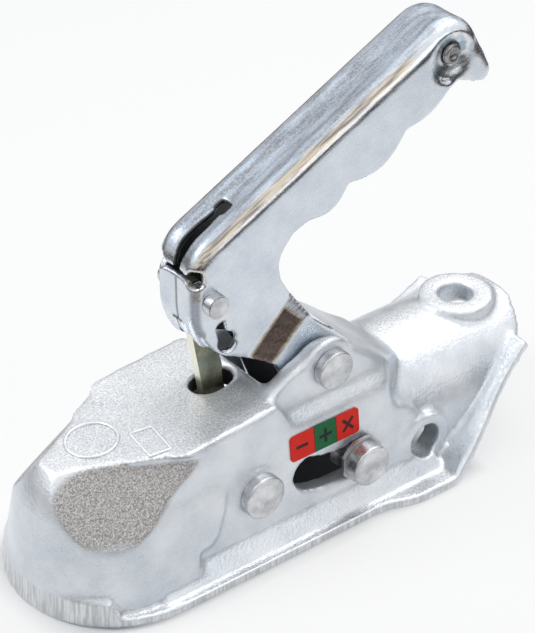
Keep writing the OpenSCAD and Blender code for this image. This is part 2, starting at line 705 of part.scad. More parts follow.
// Catch: a blade that hangs from its pin and follows an arc round the handle pin
module catch() color("darkkhaki") {
    outer = 42.6;
    inner = 33.2;
    low = 227;
    difference() {
        union() {
            bar(catch_pin_at, catch_pin_r + 1.6, -blade_t / 2, blade_t / 2);
            plate(-blade_t / 2, blade_t / 2) polygon(concat(
                [catch_pin_at + [-catch_pin_r - 1.6, -1], [39.9, 73], [40.6, 69.5], [41.5, 62]],
                arc(pivot, outer, 190, 206, 4),
                arc(pivot, outer - 3, 207, low, 4),
                arc(pivot, inner, low, 176, 8),
                [[53.5, 50], [50.8, 60], [49.5, 68], catch_pin_at + [catch_pin_r + 1.6, 0]]));
        }
        bar(catch_pin_at, catch_pin_r + run_gap, -big / 2, big / 2);
    }
}

module catch_pin() color("silver") {
    bar(catch_pin_at, catch_pin_r, -grip_half - 1, grip_half + 1);
    bar(catch_pin_at, catch_head_r - 0.4, -grip_half - 4.2, -grip_half);
    bar(catch_pin_at, catch_head_r, -grip_half - 3.8, -grip_half);
    bar(catch_pin_at, catch_head_r, grip_half, grip_half + 1.8);
}

module catch_spacers() color("gray") both_sides()
    tube(catch_pin_at, catch_pin_r + 0.7, catch_pin_r + run_gap, blade_t / 2 + side_gap,
        grip_half - sheet_t - side_gap);

// Torsion spring on the near spacer, with one leg down along the blade
module catch_spring() color("dimgray") {
    wire = 0.5;
    r = catch_pin_r + 0.7 + wire + 0.1;
    near_y = -blade_t / 2 - 0.9;
    translate([catch_pin_at[0], near_y, catch_pin_at[1]]) rotate([90, 0, 0]) coil(r, 3.5, 4.2, wire, 6, 14);
    translate([catch_pin_at[0] + r, near_y, catch_pin_at[1] - 16]) cylinder(r = wire, h = 16, $fn = 16);
}

module indicator_label() color("firebrick") {
    lean = atan((body_half - 1 - body_top_half - 1.7) / 15);
    low_z = 11.4;
    translate([64, -(body_half - 1) + (low_z - 5) * tan(lean) - 0.6, low_z]) rotate([-lean, 0, 0])
        rotate([90, 0, 0]) translate([0, 0, -0.55]) linear_extrude(0.5)
            round_rect([0, 0], [label_l, label_h], 1.6);
}

housing();
handle();
grip_rivet();
grip_spacer();
handle_pin();
pivot_sleeve();
handle_pin_ring();
ball_jaw();
jaw_pin();
jaw_washers();
jaw_pin_ring();
indicator_bolt();
collar_near();
collar_far();
bolt_sleeves();
bolt_ring();
spring_rod();
pressure_spring();
spring_cup();
catch();
catch_pin();
catch_spacers();
catch_spring();
indicator_label();
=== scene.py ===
"""Trailer coupling head with its handle up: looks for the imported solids.

Metres, in the solids' own frame: origin at the ball's centre, +X back along the drawbar, +Z up.
"""
import math

import bmesh
import bpy
import numpy as np
from mathutils import Matrix, Vector


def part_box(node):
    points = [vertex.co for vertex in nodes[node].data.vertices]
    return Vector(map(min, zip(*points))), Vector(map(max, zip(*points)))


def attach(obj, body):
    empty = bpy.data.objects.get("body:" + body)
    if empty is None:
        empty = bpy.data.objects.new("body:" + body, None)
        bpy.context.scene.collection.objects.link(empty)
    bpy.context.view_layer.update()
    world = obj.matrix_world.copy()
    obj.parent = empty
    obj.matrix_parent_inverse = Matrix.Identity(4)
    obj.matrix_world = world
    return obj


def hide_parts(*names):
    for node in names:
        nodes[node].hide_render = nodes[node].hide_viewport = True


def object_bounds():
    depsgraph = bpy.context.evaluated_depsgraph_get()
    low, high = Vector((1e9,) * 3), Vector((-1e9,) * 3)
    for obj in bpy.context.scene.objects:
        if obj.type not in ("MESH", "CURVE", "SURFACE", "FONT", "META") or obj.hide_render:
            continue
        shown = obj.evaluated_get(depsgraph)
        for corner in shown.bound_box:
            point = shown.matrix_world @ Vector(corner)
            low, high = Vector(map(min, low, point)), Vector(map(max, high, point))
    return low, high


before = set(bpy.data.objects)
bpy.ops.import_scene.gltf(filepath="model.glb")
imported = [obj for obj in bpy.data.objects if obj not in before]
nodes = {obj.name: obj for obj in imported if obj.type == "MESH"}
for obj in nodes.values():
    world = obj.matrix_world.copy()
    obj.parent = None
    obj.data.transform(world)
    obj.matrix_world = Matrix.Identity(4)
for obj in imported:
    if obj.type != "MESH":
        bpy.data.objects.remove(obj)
cad_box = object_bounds()
scene = bpy.context.scene
MM = 0.001

# Grid sizes in metres for the two skins, and the most triangles that each keeps
CAST_GRID = 0.00115
CAST_TRIANGLES = 188000
SHEET_GRID = 0.00062
SHEET_TRIANGLES = 180000

# The grip's frame: where its straight web starts, in X and Z, and its slope
GRIP_START = (52.0, 90.7)
GRIP_SLOPE = math.radians(26.1)


def new_piece(name, points, faces, smooth=True):
    """A piece from an array of points in metres and a list or array of faces."""
    mesh = bpy.data.meshes.new(name)
    mesh.from_pydata(np.asarray(points, float).reshape(-1, 3).tolist(), [], faces)
    mesh.validate()
    obj = bpy.data.objects.new(name, mesh)
    scene.collection.objects.link(obj)
    if smooth:
        mesh.polygons.foreach_set("use_smooth", np.ones(len(mesh.polygons), bool))
    return obj


def finish_piece(obj, body, slot, material, *stands_for):
    """Gives a piece its material and body, and hides the nodes that it stands for. Its slot is not used."""
    obj.data.materials.clear()
    obj.data.materials.append(material)
    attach(obj, body)
    if stands_for:
        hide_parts(*stands_for)
    return obj


def coords(obj):
    """Point places as an array."""
    co = np.empty(len(obj.data.vertices) * 3, np.float32)
    obj.data.vertices.foreach_get("co", co)
    return co.reshape(-1, 3).astype(float)


def put(obj, co):
    """Moves the points to these places."""
    obj.data.vertices.foreach_set("co", co.astype(np.float32).ravel())
    obj.data.update()


def step(x, low, high):
    """Smooth 0 to 1 ramp of x between low and high."""
    t = np.clip((x - low) / (high - low), 0, 1)
    return t * t * (3 - 2 * t)


def skin_of(solid, name, voxel, plates=()):
    """A closed, evenly meshed copy of a mesh: its solids, and any plates given, joined on a voxel grid.

    A plate is an outline in X and Z and two distances along Y, in mm.
    """
    mesh = solid.copy()
    obj = bpy.data.objects.new(name, mesh)
    scene.collection.objects.link(obj)
    bm = bmesh.new()
    bm.from_mesh(mesh)
    bmesh.ops.remove_doubles(bm, verts=bm.verts, dist=2e-6)
    for outline, y0, y1 in plates:
        near, far = ([bm.verts.new((x * MM, y * MM, z * MM)) for x, z in outline] for y in (y0, y1))
        sides = [bm.faces.new((near[i - 1], near[i], far[i], far[i - 1])) for i in range(len(near))]
        bmesh.ops.recalc_face_normals(bm, faces=sides + [bm.faces.new(near), bm.faces.new(far)])
    bm.to_mesh(mesh)
    bm.free()
    remesh = obj.modifiers.new("even", "REMESH")
    remesh.mode = "VOXEL"
    remesh.voxel_size = voxel
    depsgraph = bpy.context.evaluated_depsgraph_get()
    made = bpy.data.meshes.new_from_object(obj.evaluated_get(depsgraph))
    obj.modifiers.clear()
    obj.data = made
    return obj


def links_of(obj):
    """Edge ends as an array, for relaxing."""
    ends = np.empty(len(obj.data.edges) * 2, np.int64)
    obj.data.edges.foreach_get("vertices", ends)
    return ends.reshape(-1, 2)


def relax(obj, rounds, weight=1.0, pull=0.5, back=-0.52):
    """Evens out steps, and forms keep their size.

    Each point goes a share pull of the way to its neighbours' mean, then a share back of the way out again.
    """
    ends = links_of(obj)
    co = coords(obj)
    count = np.bincount(ends.ravel(), minlength=len(co)).astype(float)
    count[count == 0] = 1
    w = np.broadcast_to(np.asarray(weight, float), (len(co),))[:, None]
    for _ in range(rounds):
        for share in (pull, back) if back else (pull,):
            total = np.zeros_like(co)
            for axis in range(3):
                total[:, axis] = (np.bincount(ends[:, 0], co[ends[:, 1], axis], len(co))
                    + np.bincount(ends[:, 1], co[ends[:, 0], axis], len(co)))
            co += w * share * (total / count[:, None] - co)
    put(obj, co)
    return obj


def normals(obj):
    """Point normals as an array."""
    normal = np.empty(len(obj.data.vertices) * 3, np.float32)
    obj.data.vertices.foreach_get("normal", normal)
    return normal.reshape(-1, 3).astype(float)


def thin_to(obj, triangles):
    """Fewer triangles where the surface is even."""
    obj.data.calc_loop_triangles()
    now = len(obj.data.loop_triangles)
    if now > triangles:
        thin = obj.modifiers.new("thin", "DECIMATE")
        thin.ratio = triangles / now
        depsgraph = bpy.context.evaluated_depsgraph_get()
        made = bpy.data.meshes.new_from_object(obj.evaluated_get(depsgraph))
        obj.modifiers.clear()
        obj.data = made
    obj.data.polygons.foreach_set("use_smooth", np.ones(len(obj.data.polygons), bool))
    return obj


def turned(name, profile, at, steps):
    """A turned part along Y, closed by a point at each end.

    Point (i, j) is at + r[i] (cos a[j], sin a[j]) in X and Z and d[i] along Y, for a profile (r, d) in mm.
    """
    profile = np.asarray(profile, float)
    angle = np.linspace(0, 2 * np.pi, steps, endpoint=False)
    r, d = profile[:, 0][:, None], profile[:, 1][:, None]
    x = at[0] + r * np.cos(angle)
    z = at[1] + r * np.sin(angle)
    y = np.broadcast_to(d, x.shape)
    ring = np.stack([x, y, z], -1).reshape(-1, 3)
    rows = len(profile)
    i = np.arange(rows - 1)[:, None] * steps
    j = np.arange(steps)
    k = (j + 1) % steps
    quads = np.stack([i + j, i + k, i + steps + k, i + steps + j], -1).reshape(-1, 4)
    first = len(ring)
    points = np.vstack([ring, [[at[0], profile[0, 1], at[1]], [at[0], profile[-1, 1], at[1]]]])
    last_row = (rows - 1) * steps
    faces = quads.tolist()
    faces += np.stack([k, j, np.full(steps, first)], -1).tolist()
    faces += np.stack([last_row + j, last_row + k, np.full(steps, first + 1)], -1).tolist()
    obj = new_piece(name, points * MM, faces)
    outward(obj)
    return obj


def outward(obj):
    """Merges doubles and turns every face outwards."""
    bm = bmesh.new()
    bm.from_mesh(obj.data)
    bmesh.ops.remove_doubles(bm, verts=bm.verts, dist=1e-7)
    bmesh.ops.recalc_face_normals(bm, faces=bm.faces)
    bm.to_mesh(obj.data)
    bm.free()


def rounded(profile, radius, steps=4):
    """The same open profile with its inner corners rounded.

    Each corner b becomes (1-t)^2 a + 2t(1-t) b + t^2 c, with a and c the radius before and after it.
    """
    p = np.asarray(profile, float)
    out = [p[0]]
    t = np.linspace(0, 1, steps + 1)[:, None]
    for a, b, c in zip(p[:-2], p[1:-1], p[2:]):
        back, on = a - b, c - b
        r = min(radius, 0.45 * np.linalg.norm(back), 0.45 * np.linalg.norm(on))
        a1 = b + back / np.linalg.norm(back) * r
        c1 = b + on / np.linalg.norm(on) * r
        out += list((1 - t) ** 2 * a1 + 2 * t * (1 - t) * b + t ** 2 * c1)
    return np.array(out + [p[-1]])


def even_light(obj):
    """Flat faces keep their own normals beside small rounds."""
    lit = obj.modifiers.new("even light", "WEIGHTED_NORMAL")
    lit.weight = 90
    lit.keep_sharp = False
    return obj


def mask_on(obj, name, values):
    """Keeps a value for each point on the mesh, for a material to read."""
    attribute = obj.data.attributes.new(name, "FLOAT", "POINT")
    attribute.data.foreach_set("value", np.asarray(values, np.float32))


class Finish:
    """Builds a material's nodes: each call adds a node and returns its output."""

    def __init__(self, tree):
        self.tree = tree

    def add(self, kind, inputs=None, **settings):
        node = self.tree.nodes.new(kind)
        for key, value in settings.items():
            setattr(node, key, value)
        for key, value in (inputs or {}).items():
            if isinstance(value, bpy.types.NodeSocket):
                self.tree.links.new(value, node.inputs[key])
            else:
                node.inputs[key].default_value = value
        return node

    def math(self, operation, a, b=0.0, clamp=False):
        node = self.add("ShaderNodeMath", {0: a, 1: b}, operation=operation, use_clamp=clamp)
        return node.outputs[0]

    def span(self, value, low, high, to_low=0.0, to_high=1.0):
        node = self.add("ShaderNodeMapRange", {0: value, 1: low, 2: high, 3: to_low, 4: to_high})
        return node.outputs[0]

    def mix(self, factor, a, b, blend="MIX"):
        node = self.add("ShaderNodeMix", data_type="RGBA", blend_type=blend)
        for key, value in ((0, factor), (6, a), (7, b)):
            if isinstance(value, bpy.types.NodeSocket):
                self.tree.links.new(value, node.inputs[key])
            else:
                node.inputs[key].default_value = value
        return node.outputs[2]

    def noise(self, where, scale, detail=3.0, rough=0.55):
        inputs = {"Vector": where, "Scale": scale, "Detail": detail, "Roughness": rough}
        node = self.add("ShaderNodeTexNoise", inputs)
        return node.outputs[0]

    def place(self, scale=None):
        """Object coordinates, scaled if a scale is given."""
        where = self.add("ShaderNodeTexCoord").outputs["Object"]
        if scale is None:
            return where
        return self.add("ShaderNodeMapping", {"Vector": where, "Scale": scale}).outputs[0]

    def drawn(self, slope, stretch):
        """Object coordinates turned in XZ so that one axis runs up the slope, and stretched along it."""
        inputs = {"Vector": self.place(), "Rotation": (0, -slope, 0), "Scale": (stretch, 1, 1)}
        return self.add("ShaderNodeMapping", inputs, vector_type="TEXTURE").outputs[0]

    def mask(self, name):
        return self.add("ShaderNodeAttribute", attribute_name=name).outputs["Fac"]

    def group(self, tree, inputs):
        node = self.add("ShaderNodeGroup", node_tree=tree)
        for key, value in inputs.items():
            if isinstance(value, bpy.types.NodeSocket):
                self.tree.links.new(value, node.inputs[key])
            else:
                node.inputs[key].default_value = value
        return node


def shared(name, inputs, outputs):
    """An empty node group with named sockets, its builder, and its input and output sockets."""
    tree = bpy.data.node_groups.new(name, "ShaderNodeTree")
    for label, kind, value in inputs:
        socket = tree.interface.new_socket(label, in_out="INPUT", socket_type=kind)
        if value is not None:
            socket.default_value = value
    for label, kind in outputs:
        tree.interface.new_socket(label, in_out="OUTPUT", socket_type=kind)
    given = tree.nodes.new("NodeGroupInput").outputs
    return tree, Finish(tree), given, tree.nodes.new("NodeGroupOutput").inputs


def make_cast_grain():
    """Grain of shot-blasted casting under zinc: small pits in two sizes, and slow patches of tone."""
    inputs = [("Vector", "NodeSocketVector", None), ("Size", "NodeSocketFloat", 1.0)]
    outputs = [("Height", "NodeSocketFloat"), ("Tone", "NodeSocketFloat"), ("Speck", "NodeSocketFloat")]
    tree, f, given, out = shared("cast_grain", inputs, outputs)
    sized = f.add("ShaderNodeVectorMath", {0: given["Vector"], "Scale": given["Size"]}, operation="SCALE")
    where = sized.outputs[0]
    fine = f.noise(where, 1500.0, 3.0, 0.65)
    middle = f.noise(where, 560.0, 2.0, 0.5)
    slow = f.noise(where, 46.0, 3.0, 0.55)
    cells = f.add("ShaderNodeTexVoronoi", {"Vector": where, "Scale": 980.0}, feature="SMOOTH_F1")
    pits = cells.outputs["Distance"]
    height = f.math("ADD", f.math("MULTIPLY", fine, 0.45), f.math("MULTIPLY", middle, 0.4))
    height = f.math("ADD", height, f.math("MULTIPLY", pits, 0.35))
    f.tree.links.new(height, out["Height"])
    f.tree.links.new(slow, out["Tone"])
    f.tree.links.new(f.span(fine, 0.38, 0.66), out["Speck"])
    return tree


# Pointiness is 0.5 on flat faces: above the first it is an edge, below the second a hollow
CONVEX = 0.52
CONCAVE = 0.48


def make_edge_light_and_hollow_shade():
    """Masks for painted light: convex edges, which take a painted highlight, and hollows, which take painted
    shade.
    """
    inputs = [("Vector", "NodeSocketVector", None), ("Reach", "NodeSocketFloat", 0.08)]
    outputs = [("Edge", "NodeSocketFloat"), ("Hollow", "NodeSocketFloat")]
    tree, f, given, out = shared("edge_light_and_hollow_shade", inputs, outputs)
    sharp = f.add("ShaderNodeNewGeometry").outputs["Pointiness"]
    uneven = {0: f.noise(given["Vector"], 260.0, 3.0), 1: 0.05, 2: -0.025}
    ragged = f.add("ShaderNodeMath", uneven, operation="MULTIPLY_ADD").outputs[0]
    shifted = f.math("ADD", sharp, ragged)
    edge = f.span(shifted, CONVEX, f.math("ADD", CONVEX, given["Reach"]))
    hollow = f.span(shifted, CONCAVE, f.math("SUBTRACT", CONCAVE, given["Reach"]))
    f.tree.links.new(edge, out["Edge"])
    f.tree.links.new(hollow, out["Hollow"])
    return tree


def make_streaks():
    """Fine lines drawn out one way: noise on coordinates that are stretched along the lines."""
    inputs = [("Vector", "NodeSocketVector", None), ("Density", "NodeSocketFloat", 900.0)]
    tree, f, given, out = shared("drawn_streaks", inputs, [("Lines", "NodeSocketFloat")])
    f.tree.links.new(f.noise(given["Vector"], given["Density"], 2.0, 0.5), out["Lines"])
    return tree


CAST_GRAIN = make_cast_grain()
EDGE_LIGHT_AND_HOLLOW_SHADE = make_edge_light_and_hollow_shade()
STREAKS = make_streaks()


def material(name):
    made = bpy.data.materials.new(name)
    made.use_nodes = True
    made.node_tree.nodes.clear()
    return made, Finish(made.node_tree)


def lay(f, **sockets):
    """Principled shader with these sockets, joined to the output."""
    named = {key.replace("_", " "): value for key, value in sockets.items()}
    shader = f.add("ShaderNodeBsdfPrincipled", named)
    f.add("ShaderNodeOutputMaterial", {"Surface": shader.outputs[0]})
    return shader


def bump(f, height, strength, distance, under=None):
    inputs = {"Height": height, "Strength": strength, "Distance": distance}
    if under is not None:
        inputs["Normal"] = under
    return f.add("ShaderNodeBump", inputs).outputs[0]


# Values kept on the points of castings and of the handle, for their materials
CAST_MASKS = ("cheek", "trim", "level", "inside", "cheek_edge")
SHEET_MASKS = ("inside", "film_and_painted_reflection", "painted_web_reflection", "fold", "nose", "dish")


def cast_zinc(name="cast_zinc"):
    """Galvanised casting: pale blue-grey, speckle on the cheeks, trim marks on the rim; painted white
    highlights on crests and upward faces, painted shade in hollows, the well and the slot.
    """
    made, f = material(name)
    where = f.place()
    grain = f.group(CAST_GRAIN, {"Vector": where, "Size": 1.0}).outputs
    edges = f.group(EDGE_LIGHT_AND_HOLLOW_SHADE, {"Vector": where, "Reach": 0.06}).outputs
    trim_marks = f.group(STREAKS, {"Vector": f.place(scale=(1, 1, 0.025)), "Density": 900.0}).outputs
    cheek, trim, level, inside, edge_of_cheek = (f.mask(m) for m in CAST_MASKS)
    body = f.mix(f.span(grain["Tone"], 0.36, 0.64), (0.58, 0.625, 0.675, 1), (0.79, 0.82, 0.86, 1))
    body = f.mix(f.math("MULTIPLY", grain["Speck"], 0.28), body, (0.92, 0.94, 0.97, 1))
    # painted top light: upward faces of the top and the rim take a lighter speckle with more contrast
    top = f.mix(grain["Speck"], (0.50, 0.515, 0.54, 1), (0.96, 0.97, 0.985, 1))
    body = f.mix(f.math("MULTIPLY", level, 0.85), body, top)
    patch = f.mix(f.span(grain["Speck"], 0.1, 0.9), (0.29, 0.275, 0.265, 1), (0.66, 0.65, 0.65, 1))
    patch = f.mix(edge_of_cheek, patch, (0.22, 0.185, 0.155, 1))
    body = f.mix(cheek, body, patch)
    trimmed = f.mix(f.span(trim_marks["Lines"], 0.36, 0.64), (0.46, 0.46, 0.46, 1), (0.80, 0.81, 0.82, 1))
    body = f.mix(f.math("MULTIPLY", trim, 0.7), body, trimmed)
    # painted highlight on convex edges
    body = f.mix(f.math("MULTIPLY", edges["Edge"], 0.75), body, (0.93, 0.95, 0.97, 1))
    # painted shade in hollows
    body = f.mix(f.math("MULTIPLY", edges["Hollow"], 0.65), body, (0.27, 0.26, 0.25, 1))
    # painted shade inside the well and the slot
    body = f.mix(f.math("MULTIPLY", inside, 0.96), body, (0.030, 0.027, 0.025, 1))
    rough = f.span(grain["Tone"], 0.3, 0.7, 0.30, 0.44)
    rough = f.math("ADD", rough, f.math("MULTIPLY", cheek, 0.16))
    height = f.math("MULTIPLY", grain["Height"], f.span(cheek, 0.0, 1.0, 1.0, 2.0))
    normal = bump(f, height, 0.7, 0.00034)
    normal = bump(f, f.math("MULTIPLY", trim_marks["Lines"], trim), 0.6, 0.0003, normal)
    lay(f, Base_Color=body, Metallic=0.7, Roughness=rough, Normal=normal)
    return made


def sheet_zinc(name="sheet_zinc"):
    """Bright zinc on pressed sheet: lines drawn up the grip, painted brown and gold reflections on the joggle
    and the folds, painted dark reflections on the web and in the dish, painted shade on the nose's folds and
    the inner faces, painted highlights on its edges.
    """
    made, f = material(name)
    flat = f.place()
    along_grip = f.drawn(GRIP_SLOPE, 16.0)
    lines = f.group(STREAKS, {"Vector": along_grip, "Density": 1300.0}).outputs
    edges = f.group(EDGE_LIGHT_AND_HOLLOW_SHADE, {"Vector": flat, "Reach": 0.07}).outputs
    inside, film_and_painted_reflection, painted_web_reflection, fold, nose, dish_mask = (f.mask(m) for m in SHEET_MASKS)
    blotch = f.noise(flat, 75.0, 4.0, 0.6)
    fine = f.noise(flat, 1250.0, 3.0, 0.6)
    reflection_streaks = f.noise(f.drawn(GRIP_SLOPE, 7.0), 330.0, 4.0, 0.6)
    ripple = f.noise(flat, 210.0, 2.0, 0.5)
    tone = f.mix(f.span(blotch, 0.3, 0.7), (0.56, 0.61, 0.68, 1), (0.72, 0.76, 0.81, 1))
    tone = f.mix(f.math("MULTIPLY", f.span(lines["Lines"], 0.42, 0.66), 0.2), tone, (0.9, 0.92, 0.95, 1))
    # painted dark reflection on the web's upward faces, streaked along the grip
    web = f.mix(f.span(reflection_streaks, 0.36, 0.64), (0.12, 0.13, 0.155, 1), (0.36, 0.42, 0.50, 1))
    web = f.mix(f.math("MULTIPLY", f.span(fine, 0.45, 0.62), 0.3), web, (0.66, 0.70, 0.76, 1))
    tone = f.mix(f.math("MULTIPLY", painted_web_reflection, 0.85), tone, web)
    # painted brown and gold reflection on the grip's rounded folds
    wear_and_fold_reflection = f.mix(f.span(lines["Lines"], 0.40, 0.58), (0.17, 0.135, 0.11, 1), (0.66, 0.55, 0.38, 1))
    tone = f.mix(f.math("MULTIPLY", fold, 0.75), tone, wear_and_fold_reflection)
    # painted shade along the nose's folds, and the dark seam line down its middle
    tone = f.mix(f.math("MULTIPLY", nose, 0.8), tone, (0.17, 0.18, 0.215, 1))
    # painted brown reflection on the joggle's sloped face, with a painted gold reflection at its edges
    brown = f.mix(f.span(fine, 0.35, 0.65), (0.125, 0.088, 0.076, 1), (0.20, 0.160, 0.145, 1))
    tone = f.mix(film_and_painted_reflection, tone, brown)
    gold = f.math("MULTIPLY", f.math("MULTIPLY", film_and_painted_reflection, f.math("SUBTRACT", 1.0, film_and_painted_reflection)), 4.0)
    tone = f.mix(f.math("MULTIPLY", gold, 0.5), tone, (0.66, 0.53, 0.27, 1))
    # painted reflection in the rivet's dished seat, dark blue to bright
    drift = f.noise(flat, 160.0, 2.0, 0.5)
    sheen = f.mix(f.span(drift, 0.42, 0.58), (0.10, 0.20, 0.27, 1), (0.85, 0.87, 0.88, 1))
    tone = f.mix(f.math("MULTIPLY", dish_mask, 0.55), tone, sheen)
    # painted highlight on convex edges
    tone = f.mix(f.math("MULTIPLY", edges["Edge"], 0.7), tone, (0.95, 0.96, 0.97, 1))
    # painted shade on the sheet's inner faces
    tone = f.mix(inside, tone, (0.066, 0.072, 0.075, 1))
    rough = f.math("ADD", f.span(lines["Lines"], 0.3, 0.7, 0.17, 0.30), f.math("MULTIPLY", blotch, 0.06))
    rough = f.math("ADD", rough, f.math("MULTIPLY", f.math("MAXIMUM", inside, painted_web_reflection), 0.16))
    normal = bump(f, ripple, 0.2, 0.0007)
    normal = bump(f, f.math("ADD", lines["Lines"], f.math("MULTIPLY", fine, 0.5)), 0.2, 0.00014, normal)
    lay(f, Base_Color=tone, Metallic=0.95, Roughness=rough, Normal=normal)
    return made


def pin_steel(name="pin_steel", dark=(0.44, 0.45, 0.47, 1), light=(0.72, 0.73, 0.745, 1), metal=0.9):
    """Satin zinc on turned steel, with fine scratches and small dents."""
    made, f = material(name)
    where = f.place()
    fine = f.noise(where, 900.0, 3.0, 0.6)
    slow = f.noise(where, 150.0, 3.0, 0.6)
    edges = f.group(EDGE_LIGHT_AND_HOLLOW_SHADE, {"Vector": where, "Reach": 0.1}).outputs
    tone = f.mix(f.span(slow, 0.35, 0.65), dark, light)
    # painted highlight on convex edges
    tone = f.mix(f.math("MULTIPLY", edges["Edge"], 0.4), tone, (0.9, 0.9, 0.9, 1))
    rough = f.span(fine, 0.3, 0.7, 0.24, 0.4)
    normal = bump(f, f.math("ADD", fine, f.math("MULTIPLY", slow, 1.5)), 0.25, 0.00012)
    lay(f, Base_Color=tone, Metallic=metal, Roughness=rough, Normal=normal)
    return made


def dark_steel(name="dark_steel"):
    """Oiled dark steel of the inner sleeves and collars."""
    made, f = material(name)
    where = f.place()
    fine = f.noise(where, 700.0, 3.0, 0.6)
    slow = f.noise(where, 120.0, 3.0, 0.6)
    edges = f.group(EDGE_LIGHT_AND_HOLLOW_SHADE, {"Vector": where, "Reach": 0.08}).outputs
    tone = f.mix(f.span(slow, 0.35, 0.65), (0.18, 0.18, 0.19, 1), (0.34, 0.34, 0.35, 1))
    # painted highlight on convex edges
    tone = f.mix(f.math("MULTIPLY", edges["Edge"], 0.6), tone, (0.6, 0.6, 0.6, 1))
    normal = bump(f, fine, 0.3, 0.00015)
    lay(f, Base_Color=tone, Metallic=0.9, Roughness=f.span(fine, 0.3, 0.7, 0.3, 0.45), Normal=normal)
    return made


def yellow_zinc(name="yellow_zinc"):
    """Yellow-passivated catch: a painted cream highlight on its front edge, olive on its sides, with a bluish
    drift.
    """
    made, f = material(name)
    where = f.place()
    slow = f.noise(where, 130.0, 3.0, 0.6)
    film_and_painted_reflection = f.noise(where, 60.0, 2.0, 0.5)
    fine = f.noise(where, 900.0, 3.0, 0.6)
    tone = f.mix(f.span(slow, 0.35, 0.65), (0.17, 0.175, 0.125, 1), (0.40, 0.40, 0.29, 1))
    tone = f.mix(f.math("MULTIPLY", f.span(film_and_painted_reflection, 0.5, 0.7), 0.4), tone, (0.20, 0.27, 0.26, 1))
    # painted highlight: faces that point forward, along -X, are painted cream
    facing = f.add("ShaderNodeSeparateXYZ", {0: f.add("ShaderNodeNewGeometry").outputs["Normal"]}).outputs
    front = f.span(facing[0], -0.5, -0.8)
    tone = f.mix(front, tone, (0.80, 0.78, 0.64, 1))
    lay(f, Base_Color=tone, Metallic=0.8, Roughness=f.span(fine, 0.3, 0.7, 0.28, 0.42),
        Normal=bump(f, fine, 0.2, 0.00012))
    return made


# The label's place: its low front corner in X and Z, its length and its height, in metres
LABEL_LOW = (0.064, 0.0114)
LABEL_LONG = 0.0334
LABEL_HIGH = 0.011


def label_print(name="label_red"):
    """Printed wear scale: red, green and red fields with black marks, from bands in X and Z."""
    made, f = material(name)
    where = f.add("ShaderNodeSeparateXYZ", {0: f.place()}).outputs
    u = f.math("DIVIDE", f.math("SUBTRACT", where[0], LABEL_LOW[0]), LABEL_LONG)
    v = f.math("DIVIDE", f.math("SUBTRACT", where[2], LABEL_LOW[1]), LABEL_HIGH)

    def within(value, low, high):
        over = f.math("GREATER_THAN", value, low)
        return f.math("MULTIPLY", over, f.math("LESS_THAN", value, high))

    def bar(cu, cv, long, thick, turn=0.0):
        du = f.math("MULTIPLY", f.math("SUBTRACT", u, cu), LABEL_LONG / LABEL_HIGH)
        dv = f.math("SUBTRACT", v, cv)
        c, s = math.cos(turn), math.sin(turn)
        a = f.math("ADD", f.math("MULTIPLY", du, c), f.math("MULTIPLY", dv, s))
        b = f.math("SUBTRACT", f.math("MULTIPLY", dv, c), f.math("MULTIPLY", du, s))
        return f.math("MULTIPLY", within(a, -long / 2, long / 2), within(b, -thick / 2, thick / 2))

    wear_and_fold_reflection = f.noise(f.place(), 900.0, 3.0, 0.6)
    slow = f.noise(f.place(), 200.0, 3.0, 0.6)
    red = f.mix(slow, (0.72, 0.012, 0.006, 1), (0.84, 0.030, 0.012, 1))
    green = f.mix(slow, (0.006, 0.115, 0.035, 1), (0.014, 0.165, 0.055, 1))
    tone = f.mix(within(u, 0.345, 0.665), red, green)
    marks = bar(0.165, 0.5, 0.52, 0.13)
    for mark in (bar(0.505, 0.5, 0.56, 0.13), bar(0.505, 0.5, 0.13, 0.56), bar(0.835, 0.5, 0.66, 0.13, 0.8),
            bar(0.835, 0.5, 0.66, 0.13, -0.8)):
        marks = f.math("MAXIMUM", marks, mark)
    for line in (within(u, 0.338, 0.350), within(u, 0.660, 0.672)):
        marks = f.math("MAXIMUM", marks, f.math("MULTIPLY", line, 0.75))
    tone = f.mix(f.math("MULTIPLY", marks, 0.94), tone, (0.012, 0.012, 0.014, 1))
    rough = f.span(wear_and_fold_reflection, 0.3, 0.7, 0.42, 0.56)
    shader = lay(f, Base_Color=tone, Roughness=rough, Normal=bump(f, wear_and_fold_reflection, 0.12, 0.00008))
    shader.inputs["Specular IOR Level"].default_value = 0.22
    return made


CAST = cast_zinc()
JAW = pin_steel("jaw_zinc", (0.48, 0.50, 0.53, 1), (0.70, 0.73, 0.76, 1), 0.85)
SHEET = sheet_zinc()
PIN = pin_steel()
DARK = dark_steel()
SPRING = pin_steel("spring_steel", (0.22, 0.22, 0.23, 1), (0.42, 0.42, 0.43, 1), 0.9)
RIVET_STEEL = pin_steel("rivet_steel", (0.20, 0.20, 0.205, 1), (0.44, 0.44, 0.45, 1), 0.9)
YELLOW = yellow_zinc()
LABEL = label_print()


# The flat top over the ball rises to the rear at this angle, in degrees
TOP_SLOPE = 5.0


def top_height(x):
    """Height in mm of the flat top over the ball, which rises to the rear."""
    return 33.1 + (x + 3) * math.tan(math.radians(TOP_SLOPE))


# Pin seats and bolt holes whose rims stay crisp: X and Z of the middle, radius, and |Y| past which they lie
CRISP_SEATS = ((88, 42, 11, 24), (48.3, 5, 12, 30), (130.7, -7.4, 12, 24), (96.4, 0.4, 9, 26),
    (84, 0.0, 10, 26), (72.4, 2.6, 9, 26))
# The upright bolt hole's X, the rim's top and the cheek's own slope: its turn about Z and its lean
BOLT_HOLE_X = 175.7
RIM_TOP = -12.0
CHEEK_TURN = math.radians(-27.5)
CHEEK_LEAN = math.radians(53)


